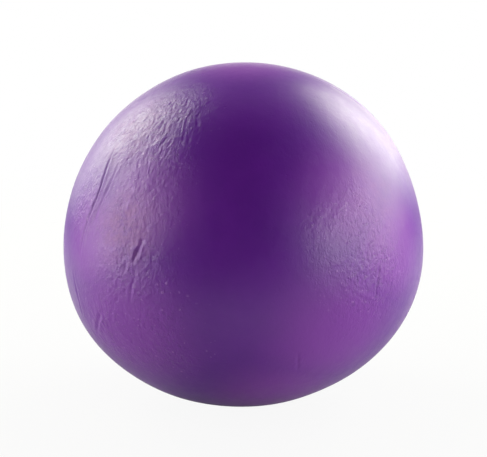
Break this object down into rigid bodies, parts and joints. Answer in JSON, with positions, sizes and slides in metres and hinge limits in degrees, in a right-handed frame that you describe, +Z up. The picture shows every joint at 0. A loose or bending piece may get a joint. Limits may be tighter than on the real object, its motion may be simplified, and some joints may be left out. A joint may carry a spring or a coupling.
{
  "type": "playground ball",
  "caption": "Soft purple moulded-rubber playground ball with a wound inner bladder and a needle valve, slumped slightly onto a flat contact patch.",
  "frame": {"origin": "centre of the flat contact patch under the ball, on the floor", "axes": "+Z up through the crown, the short way of the slumped ball; the valve is at the left, a little behind: its heading is 170 degrees round +Z from +X, and it is raised 15 degrees"},
  "size_m": [0.219, 0.219, 0.2056],
  "materials": {
    "cover_rubber": "smooth satin rubber with fine creases",
    "winding_nylon": "wound nylon thread in dried rubber cement",
    "bladder_rubber": "matt black butyl rubber, dusted",
    "valve_rubber": "dark moulded rubber",
    "core_rubber": "dark grey moulded rubber"
  },
  "bodies": {
    "ball": {"cover": "cover_rubber", "nylon_winding": "winding_nylon", "bladder": "bladder_rubber", "valve_housing": "valve_rubber"},
    "valve_insert": {"valve_core": "core_rubber"}
  },
  "joints": [
    {"name": "valve_core_pull", "type": "slide", "parent": "ball", "child": "valve_insert", "axis": [-0.9513, 0.1677, 0.2588], "range_m": [0, 0.016]}
  ]
}
